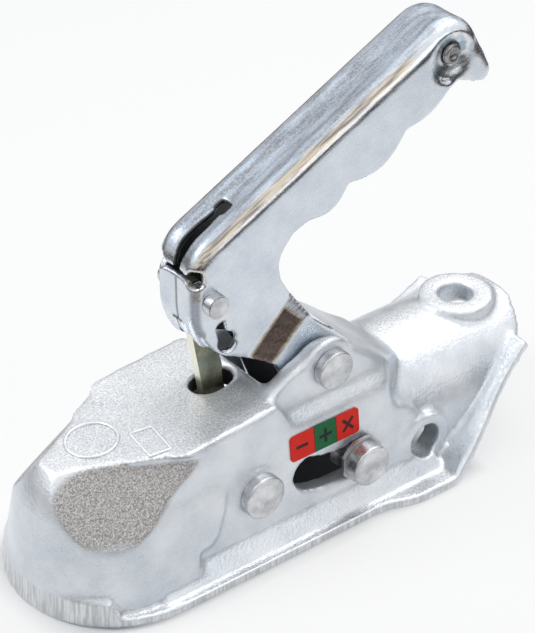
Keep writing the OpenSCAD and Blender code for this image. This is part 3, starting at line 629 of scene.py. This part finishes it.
def make_housing():
    """The solid housing on a voxel grid, relaxed so that every arris becomes a cast round, with its masks."""
    obj = skin_of(nodes["housing"].data, "housing_casting", CAST_GRID)
    relax(obj, 5)
    x, y, z = (coords(obj) / MM).T
    far = np.abs(y)
    # the rim's corners and the seats stay crisp, and the rest rounds off
    keep = step(-17.5 - z, 0, 1.5)
    for seat_x, seat_z, r, low in CRISP_SEATS:
        near = np.hypot(x - seat_x, z - seat_z)
        keep = np.maximum(keep, 0.85 * (1 - step(near, r, r + 2)) * (far > low))
    keep = np.maximum(keep, 0.8 * (1 - step(np.hypot(x - BOLT_HOLE_X, y), 13, 15)))
    relax(obj, 4, weight=1 - keep, back=0)
    # softer steps on the side walls, and softer still behind the ears
    wall = step(x, 54, 60) * (1 - step(x, 122, 130)) * step(z, -8, -4) * step(far, 15, 18) * (1 - keep)
    relax(obj, 7, weight=wall, back=0)
    wall = step(x, 92, 100) * (1 - step(x, 124, 132)) * step(z, 4, 10) * (1 - keep)
    relax(obj, 12, weight=wall, back=0)
    relax(obj, 5)
    thin_to(obj, CAST_TRIANGLES)
    x, y, z = (coords(obj) / MM).T
    far = np.abs(y)
    normal = normals(obj)
    # the cheek is the bevel between the flat top and the bell: |Y| of the normal serves both sides
    level_part = normal[:, 0] * math.sin(CHEEK_TURN) + np.abs(normal[:, 1]) * math.cos(CHEEK_TURN)
    slope = level_part * math.sin(CHEEK_LEAN) + normal[:, 2] * math.cos(CHEEK_LEAN)
    cheek = step(slope, 0.86, 0.97) * step(z, 6, 10) * (1 - step(x, 34, 44)) * step(far, 7, 10)
    mask_on(obj, "cheek", cheek)
    mask_on(obj, "cheek_edge", cheek * step(0.955 - slope, 0, 0.05) * step(20 - z, 0, 8))
    side = 1 - step(np.abs(normal[:, 2]), 0.25, 0.55)
    outer = step(np.hypot(np.minimum(x - 5.5, 0), y), 40.5, 41.5)
    mask_on(obj, "trim", side * outer * (1 - step(z, RIM_TOP - 1, RIM_TOP)) * (1 - step(x, 130, 136)))
    # upward faces of the flat top and of the rim's top: painted top light
    flat_top = step(normal[:, 2], 0.93, 0.985) * step(z, 10, 20)
    mask_on(obj, "level", np.maximum(flat_top, step(normal[:, 2], 0.80, 0.97) * step(RIM_TOP - z, 0, 2)))
    # painted shade in the well, darker lower down, and in the slot
    well = (x > 62.5) & (x < 104.5) & (far < 17.6) & (z < top_height(x) - 1.5)
    slot = (far < 6.5) & (x > 40) & (x < 60.4) & (z < top_height(x) - 1)
    mask_on(obj, "inside", np.maximum(well * step(30 - z, 0, 14), slot))
    return obj


housing = make_housing()
finish_piece(housing, "body", "cast_zinc", CAST, "housing")


def bead(name, line, half, high):
    """A closed raised line: an ellipse carried round a closed line on the sloping top.

    Point (i, j) is line[i] + half cos a[j] side[i] + high sin a[j] up, side being square to line and up.
    """
    line = np.asarray(line, float)
    along = np.roll(line, -1, 0) - np.roll(line, 1, 0)
    along /= np.linalg.norm(along, axis=1)[:, None]
    slope = math.radians(TOP_SLOPE)
    up = np.array([-math.sin(slope), 0, math.cos(slope)])
    side = np.cross(along, up)
    angle = np.linspace(0, 2 * np.pi, 10, endpoint=False)
    across, rise = half * np.cos(angle), high * np.sin(angle)
    ring = line[:, None] + across[None, :, None] * side[:, None] + rise[None, :, None] * up
    rows, n = len(line), len(angle)
    i = np.arange(rows)[:, None] * n
    j = np.arange(n)[None, :]
    k, below = (j + 1) % n, (i + n) % (rows * n)
    quads = np.stack([i + j, i + k, below + k, below + j], -1).reshape(-1, 4).tolist()
    obj = new_piece(name, ring.reshape(-1, 3) * MM, quads)
    outward(obj)
    return obj


def on_top(x, y, sunk=0.05):
    """Points on the flat top."""
    return np.stack([x, y, top_height(x) - sunk], -1)


# The two plain raised marks on the flat top, in X and Y, mm
RING_AT = (-2.8, 1.4)
RING_R = 9.8
FRAME_CORNERS = np.array([(9.5, -5.4), (18, -7.5), (15.8, -22.7), (7.7, -20.9)])

turn = np.linspace(0, 2 * np.pi, 72, endpoint=False)
ring_line = on_top(RING_AT[0] + RING_R * np.cos(turn), RING_AT[1] + RING_R * np.sin(turn))
share = np.linspace(0, 1, 16, endpoint=False)[:, None]
ends = zip(FRAME_CORNERS, np.roll(FRAME_CORNERS, -1, 0))
sides = np.concatenate([a + (b - a) * share for a, b in ends])
frame_line = on_top(sides[:, 0], sides[:, 1])
for name, line, half, high in (("raised_ring", ring_line, 0.8, 0.9), ("raised_frame", frame_line, 0.7, 0.85)):
    mark = bead(name, line, half, high)
    # the raised marks take the painted top light all over
    for label in CAST_MASKS:
        mask_on(mark, label, np.full(len(mark.data.vertices), label == "level"))
    finish_piece(mark, "body", "cast_zinc", CAST)


# The pins' axes in X and Z, mm; the crank is the bolt that the handle's arms carry about the pivot
PIVOT = (88.0, 42.0)
CRANK_R = 42.4
CRANK_TURN = math.radians(11.4)
CRANK = (PIVOT[0] + CRANK_R * math.sin(CRANK_TURN), PIVOT[1] - CRANK_R * math.cos(CRANK_TURN))
JAW_PIN = (48.3, 5.0)


def grip_frame(x, z):
    """Distances in mm along the grip's web and out of it."""
    dx, dz = x - GRIP_START[0], z - GRIP_START[1]
    c, s = math.cos(GRIP_SLOPE), math.sin(GRIP_SLOPE)
    return dx * c + dz * s, dz * c - dx * s


# |Y| of the side plates' inner and outer faces, and of the arms' outer faces, mm
PLATE_IN = 9.6
PLATE_OUT = 13.0
ARM_OUT = 17.0
# The step between plate and arm: a point on its line in X and Z, the line's turn, the run across it
JOGGLE_AT = (71.5, 56.5)
JOGGLE_TURN = math.radians(43.5)
JOGGLE_RUN = 11.3
# Middle of the grip's rivet and of its curl, the nose's arc, and the lip's middle, in X and Z
RIVET = (156.8, 146.0)
CURL_R = 14.5
NOSE_AT = (65.0, 78.7)
NOSE_R = 30.0
LIP_AT = (166.0, 137.0)
# The rivet's dished seat: radius, depth, and |Y| of what stays where it is under it
DISH_R = 10.8
DISH_SINK = 2.35
DISH_IN = 7.6


def across_joggle(x, z):
    """Distance in mm past the step's line, out of the plate and into the arm."""
    return (x - JOGGLE_AT[0]) * math.sin(JOGGLE_TURN) - (z - JOGGLE_AT[1]) * math.cos(JOGGLE_TURN)


def along_joggle(x, z):
    """Distance in mm along the step's line, up and to the rear."""
    return (x - JOGGLE_AT[0]) * math.cos(JOGGLE_TURN) + (z - JOGGLE_AT[1]) * math.sin(JOGGLE_TURN)


def from_rivet(x, z, dx=0.0, dz=0.0):
    """Distance in mm from the rivet's axis, or from a point beside it."""
    return np.hypot(x - RIVET[0] - dx, z - RIVET[1] - dz)


def flat_grip(co):
    """The grip's side plates stay flat to their end: takes the arms' outward step off what lies above Z 100.

    The plate moves in by the step. At the lip, where it lies on the web's fold, it is pressed thinner.
    """
    x, y, z = co.T
    out = (ARM_OUT - PLATE_OUT) * np.clip(across_joggle(x, z) / JOGGLE_RUN + 0.5, 0, 1)
    far = np.abs(y)
    moved = PLATE_IN + np.maximum(far - PLATE_IN - out, 0)
    over_fold = far > PLATE_OUT + 0.3
    pressed = np.where(over_fold, PLATE_OUT - 0.5 * (PLATE_OUT + out - far), np.minimum(far, PLATE_OUT))
    flat = moved + (pressed - moved) * step(x, 158, 163)
    return np.stack([x, np.where((z > 100) & (far > PLATE_IN), np.sign(y) * flat, y), z], -1)


def arc_points(centre, radius, start, end, steps=24):
    """Points of an arc in X and Z, angles in degrees."""
    angle = np.radians(np.linspace(start, end, steps))
    return [(centre[0] + radius * math.cos(a), centre[1] + radius * math.sin(a)) for a in angle]


def dish(co):
    """The rivet's dished seat: the plate sinks by DISH_SINK times a smooth ramp of distance."""
    x, y, z = co.T
    sink = DISH_SINK * (1 - step(from_rivet(x, z, -1.2, -0.5) / DISH_R, 0.36, 1.08))
    far = np.abs(y)
    share = (far - DISH_IN) / (PLATE_OUT - DISH_IN)
    return np.stack([x, np.where(share > 0, np.sign(y) * (far - sink * np.clip(share, 0, 1.2)), y), z], -1)


def fuller_curl(co, normal):
    """The web's trough fades out towards the curl: its middle is pushed out along its own normal."""
    x, y, z = co.T
    u, n = grip_frame(x, z)
    outer = (n > -1.5) | (from_rivet(x, z) > CURL_R - 2.2)
    lift = 1.1 * np.clip(1 - (y / 8) ** 2, 0, 1) * step(u, 88, 116) * outer
    return co + normal * lift[:, None]


def seam(co):
    """Two flaps meet down the middle of the nose: a groove 0.9 (1 - |Y| / 0.9) deep on its front."""
    x, y, z = co.T
    from_arc = np.hypot(x - NOSE_AT[0], np.minimum(z - NOSE_AT[1], 0)) - NOSE_R
    front = (1 - step(np.abs(from_arc), 0.7, 1.2)) * step(90.5 - z, 0, 1) * (x < 50)
    return np.stack([x + 0.9 * np.clip(1 - np.abs(y) / 0.9, 0, 1) * front, y, z], -1)


# Outlines in X and Z of what the handle's skin adds: the closed nose, the lip's web and the lip's sides
NOSE_GUSSET = [(38.9, 67.7), (41.3, 63.2), (44.4, 59.4), (47.2, 57.0), (50.2, 55.3), (50, 57.4), (47.8, 58.3),
    (46.2, 60), (45.5, 62.3), (45.7, 64.4), (44.4, 70.4), (41, 71)]
LIP_TIP = [(177.0, 134.6), (176.9, 131.9), (175.5, 129.9)]
LIP_WEB = [(169.2, 150.4), (172.1, 145.2), (175.4, 139.6)] + LIP_TIP + [(173.6, 131.2), (174.5, 134.6),
    (173.2, 139.2), (170.6, 144.8), (167.6, 149.8)]
LIP_SIDE = [(166.4, 149.4), (170.0, 145.4), (174.0, 139.8)] + LIP_TIP + [(173.2, 129.0), (168.4, 131.0),
    (163.2, 134.2), (159.6, 136.6), (162.6, 140.6), (164.4, 145.6)]
# The lip's side is laid in layers that get smaller outwards, for a rounded fold: size and |Y| range
LIP_LAYERS = ((1.0, PLATE_IN, 11.0), (0.93, 11.0, 12.0), (0.84, 12.0, 12.6), (0.74, 12.6, PLATE_OUT))


def added_plates():
    """Plates that close the nose and the rivet's recess and fill out the lip."""
    plates = [(NOSE_GUSSET, PLATE_IN, PLATE_OUT)]
    for start, end in ((90, 270), (-90, 90)):
        half_disc = arc_points(RIVET, 9.9, start, end) + arc_points(RIVET, 4.2, end, start)
        plates.append((half_disc, DISH_IN + 1, PLATE_OUT))
    for size, y0, y1 in LIP_LAYERS:
        layer = np.array(LIP_AT) + (np.array(LIP_SIDE) - LIP_AT) * size
        plates.append((layer.tolist(), y0, y1))
    plates += [(outline, -y1, -y0) for outline, y0, y1 in plates]
    flaps = arc_points(NOSE_AT, NOSE_R, 194, 206.2, 6) + arc_points(NOSE_AT, NOSE_R - 1.9, 206.2, 194, 6)
    return plates + [(LIP_WEB, -10.0, 10.0), (flaps, -3.7, 3.7)]


def mark_handle(obj):
    """Masks for the handle's material."""
    x, y, z = (coords(obj) / MM).T
    normal = normals(obj)
    far = np.abs(y)
    out = normal[:, 1] * np.sign(y)
    u, n = grip_frame(x, z)
    # inside: painted shade on what faces the middle plane or lies under the web, in from the sheet's outer
    # faces
    inward = step(-out, 0.2, 0.6)
    under = step(-n, 2.0, 3.0) * step(PLATE_IN + 0.2 - far, 0, 0.4) * (u > -4)
    under *= 1 - step(x, 158, 162) * step(normal[:, 0], 0.15, 0.45)
    mask_on(obj, "inside", np.maximum(inward, under) * step(ARM_OUT + 0.1 - far, 0.6, 1.2))
    # the joggle's sloped face, away from the pivot: painted brown reflection with gold edges
    film_and_painted_reflection = step(far, 13.15, 13.6) * (1 - step(far, 16.2, 16.75)) * step(out, 0.2, 0.5) * (z < 100)
    along = along_joggle(x, z)
    film_and_painted_reflection *= step(11.0 - along, 0, 1.1) * step(along + 13.2, 0, 1.1)
    mask_on(obj, "film_and_painted_reflection", film_and_painted_reflection * (np.hypot(x - PIVOT[0], z - PIVOT[1]) > 14))
    # the grip's rounded folds: painted brown and gold reflection
    fold = step(out, 0.3, 0.62) * (1 - step(out, 0.80, 0.96)) * (z > 84) * (n > -2)
    mask_on(obj, "fold", fold * step(from_rivet(x, z), 15, 24))
    # painted shade band along the nose's fold; the line is the seam's dark joint down the nose's front
    nose_fold_shade = step(out, 0.25, 0.5) * (1 - step(out, 0.78, 0.94)) * step(89 - z, 0, 2) * (x < 48)
    line = (1 - step(far, 0.35, 0.75)) * (z < 90) * (normal[:, 0] < -0.3) * (x < 42)
    mask_on(obj, "nose", np.maximum(nose_fold_shade * 0.85, line))
    # upward faces of the web: painted dark reflection
    mask_on(obj, "painted_web_reflection", step(normal[:, 2], 0.25, 0.7) * step(11 - far, 0, 3))
    # the rivet's dished seat, which takes a painted reflection
    in_dish = step(11.5 - from_rivet(x, z, -1.2, -0.5), 0, 2)
    mask_on(obj, "dish", step(12.85 - far, 0, 0.5) * step(out, 0.1, 0.4) * in_dish)


def make_handle():
    """The solid handle on a finer grid, its nose and lip filled out, formed and relaxed to pressed rounds."""
    blank = skin_of(nodes["handle"].data, "blank", SHEET_GRID)
    put(blank, flat_grip(coords(blank) / MM) * MM)
    obj = skin_of(blank.data, "handle_pressing", SHEET_GRID, added_plates())
    bpy.data.objects.remove(blank)
    relax(obj, 3)
    put(obj, seam(dish(fuller_curl(coords(obj) / MM, normals(obj)))) * MM)
    relax(obj, 4)
    x, y, z = (coords(obj) / MM).T
    r = from_rivet(x, z, -1.0)
    seat = step(r, 5.2, 6.2) * (1 - step(r, 12, 14)) * step(np.abs(y), 9.4, 10.2) * step(z, 137, 139)
    relax(obj, 8, weight=seat, back=0)
    relax(obj, 9, weight=step(x, 162, 166) * step(152 - z, 0, 4) * step(z, 126, 128), back=0)
    relax(obj, 6, weight=step(56 - x, 0, 4) * step(76 - z, 0, 4) * step(z, 52, 54), back=0)
    relax(obj, 2, back=0)
    relax(obj, 3)
    thin_to(obj, SHEET_TRIANGLES)
    mark_handle(obj)
    return obj


handle = make_handle()
finish_piece(handle, "lever", "sheet_zinc", SHEET, "handle")


def headed_pin(name, at, r, head_r, seat, ring, head):
    """Turned pin: dished head face, rolled rim, shank and a peened tail."""
    face = -seat - head
    tail = seat + ring + 1.0
    profile = [[head_r * 0.3, face + 0.22], [head_r * 0.62, face + 0.18], [head_r - 1.3, face + 0.02],
        [head_r - 0.55, face], [head_r - 0.02, face + 0.5], [head_r - 0.02, -seat - 0.25],
        [head_r - 0.2, -seat], [r, -seat], [r, tail - 0.5], [r - 0.5, tail]]
    return even_light(turned(name, rounded(profile, 0.28, 3), at, 96))


for name, node, body, at, r, head_r, seat, head in (
        ("handle_pin_turned", "handle_pin", "body", PIVOT, 6, 8, 26.0, 4.3),
        ("jaw_pin_turned", "jaw_pin", "body", JAW_PIN, 6, 9, 33.2, 4.3),
        ("indicator_bolt_turned", "indicator_bolt", "lever", CRANK, 6, 8.6, 36.3, 6.3)):
    finish_piece(headed_pin(name, at, r, head_r, seat, 2.4, head), body, "pin_steel", PIN, node)


def riveted(name, node, at, r, seat):
    """A rivet peened at both ends: dished head, rolled rim, shank; its size comes from the node's box."""
    low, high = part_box(node)
    head_r = (high[0] - low[0]) / 2 / MM - 0.02
    ends = [low[1] / MM + 0.02, high[1] / MM - 0.02]
    near = [[head_r * 0.34, ends[0] + 0.75], [head_r * 0.5, ends[0] + 0.15], [head_r * 0.72, ends[0]],
        [head_r * 0.94, ends[0] + 0.35], [head_r, ends[0] + 0.9], [head_r, -seat], [r, -seat]]
    far = [[a, ends[1] - (b - ends[0])] for a, b in near[:5]]
    profile = near + [[r, seat], [head_r, seat]] + far[::-1]
    return even_light(turned(name, rounded(profile, 0.22, 3), at, 64))


grip_rivet = riveted("grip_rivet_peened", "grip_rivet", RIVET, 3.2, 10.72)
finish_piece(grip_rivet, "lever", "pin_steel", RIVET_STEEL, "grip_rivet")

# The solids that are shown as they are, by finish
for finish, shown in (
        (PIN, ("handle_pin_ring", "jaw_pin_ring", "bolt_ring", "grip_spacer", "catch_pin")),
        (DARK, ("spring_rod", "pivot_sleeve", "bolt_sleeves", "jaw_washers", "catch_spacers", "collar_near",
            "collar_far", "spring_cup")),
        (JAW, ("ball_jaw",)),
        (SPRING, ("pressure_spring", "catch_spring")),
        (YELLOW, ("catch",)),
        (LABEL, ("indicator_label",))):
    for node in shown:
        nodes[node].data.materials.clear()
        nodes[node].data.materials.append(finish)

def shown_to(f):
    """1 for the rays that show a background: the camera's own, and those that gloss and glass send on."""
    rays = f.add("ShaderNodeLightPath").outputs
    seen = f.math("MAXIMUM", rays["Is Camera Ray"], rays["Is Glossy Ray"])
    return f.math("MAXIMUM", seen, rays["Is Transmission Ray"])


# The part's middle along X, the floor's radius and the curtain's, in metres
MIDDLE_X = 0.08
FLOOR_R = 0.55
CARD_R = 1.2
PALE = (0.86, 0.86, 0.86, 1)
DEEP_SHADE = (0.12, 0.12, 0.12, 1)


def make_floor():
    """Pale round table top under the part, with painted shade in its colour under the part's open shell."""
    angle = np.linspace(0, 2 * np.pi, 96, endpoint=False)
    x, y = FLOOR_R * np.cos(angle) + MIDDLE_X, FLOOR_R * np.sin(angle)
    ring = np.stack([x, y, np.full(96, cad_box[0][2])], -1)
    floor = new_piece("floor", ring, [tuple(range(96))], smooth=False)
    made, f = material("pale_floor")
    where = f.add("ShaderNodeSeparateXYZ", {0: f.place()}).outputs

    def away(middle, x_low, x_high, y_low, y_high):
        """0 inside an area under the part, 1 outside it."""
        from_x = f.span(f.math("ABSOLUTE", f.math("SUBTRACT", where[0], middle)), x_low, x_high)
        return f.math("MAXIMUM", f.span(f.math("ABSOLUTE", where[1]), y_low, y_high), from_x)

    # the glow fades out under the part, so that its own shadow stays there
    clear = f.math("MULTIPLY", away(0.055, 0.085, 0.100, 0.036, 0.050), 0.68)
    # painted deep shade: the floor's colour is darker inside the open shell, seen through the two slots
    shade = away(MIDDLE_X, 0.045, 0.060, 0.022, 0.030)
    matt = f.add("ShaderNodeBsdfDiffuse", {"Color": f.mix(shade, DEEP_SHADE, PALE)}).outputs[0]
    glow = f.add("ShaderNodeEmission", {"Color": (1, 1, 1, 1), "Strength": 1.0}).outputs[0]
    blend = f.add("ShaderNodeMixShader", {0: f.math("MULTIPLY", shown_to(f), clear), 1: matt, 2: glow})
    f.add("ShaderNodeOutputMaterial", {"Surface": blend.outputs[0]})
    floor.data.materials.append(made)


def make_world():
    """Soft pale room: camera, gloss and glass rays see white, the rest are lit from above."""
    world = bpy.data.worlds.new("studio")
    world.use_nodes = True
    world.node_tree.nodes.clear()
    f = Finish(world.node_tree)
    dim = f.add("ShaderNodeBackground", {"Color": (0.72, 0.75, 0.78, 1), "Strength": 0.62})
    white = f.add("ShaderNodeBackground", {"Color": (1, 1, 1, 1), "Strength": 1.0})
    mixed = f.add("ShaderNodeMixShader", {0: shown_to(f), 1: dim.outputs[0], 2: white.outputs[0]})
    f.add("ShaderNodeOutputWorld", {"Surface": mixed.outputs[0]})
    scene.world = world


def dark_card(name, turn, low, high, wide, tone):
    """A dark curtain round the table that only shows in gloss: an arc of a cylinder between two heights."""
    angle = np.radians(turn + np.linspace(-wide / 2, wide / 2, 33))
    x, y = MIDDLE_X + CARD_R * np.cos(angle), CARD_R * np.sin(angle)
    points = np.concatenate([np.stack([x, y, np.full(33, z)], -1) for z in (low, high)])
    i = np.arange(32)
    card = new_piece(name, points, np.stack([i, i + 1, i + 34, i + 33], -1).tolist())
    made, f = material(name)
    glow = f.add("ShaderNodeEmission", {"Color": tone, "Strength": 1.0}).outputs[0]
    f.add("ShaderNodeOutputMaterial", {"Surface": glow})
    card.data.materials.append(made)
    card.visible_camera = False
    card.visible_diffuse = False
    card.visible_shadow = False


def softbox(name, place, size, power):
    """A soft rectangular lamp that looks at the part."""
    lamp = bpy.data.lights.new(name, "AREA")
    lamp.shape = "RECTANGLE"
    lamp.size, lamp.size_y = size
    lamp.energy = power
    obj = bpy.data.objects.new(name, lamp)
    scene.collection.objects.link(obj)
    obj.location = place
    obj.rotation_euler = (Vector((MIDDLE_X, 0, 0.03)) - Vector(place)).to_track_quat("-Z", "Y").to_euler()


make_floor()
make_world()
dark_card("dark_curtain", 0, -0.5, 0.25, 360, (0.05, 0.035, 0.028, 1))
softbox("overhead", (0.50, 0.10, 0.86), (0.55, 0.75), 4.2)
softbox("over_left", (-0.55, 0.40, 0.85), (0.5, 0.5), 4.0)
softbox("front_fill", (0.35, -1.0, 0.55), (0.5, 0.4), 0.8)


def make_camera():
    """Camera at the photograph's viewing angle, 0.89 m from a point over the body."""
    turn, rise, distance = math.radians(38.03), math.radians(33.66), 0.8895
    away = Vector((-math.sin(turn) * math.cos(rise), -math.cos(turn) * math.cos(rise), math.sin(rise)))
    data = bpy.data.cameras.new("camera")
    data.sensor_width = 36
    data.lens = 133.3
    data.clip_start = 0.05
    data.clip_end = 20
    camera = bpy.data.objects.new("camera", data)
    scene.collection.objects.link(camera)
    place = Vector((0.07827, 0, 0.05504)) + away * distance
    camera.matrix_world = (Matrix.Translation(place) @ away.to_track_quat("Z", "Y").to_matrix().to_4x4()
        @ Matrix.Rotation(math.radians(-0.14), 4, "Z"))
    scene.camera = camera


make_camera()
scene.view_settings.view_transform = "Standard"
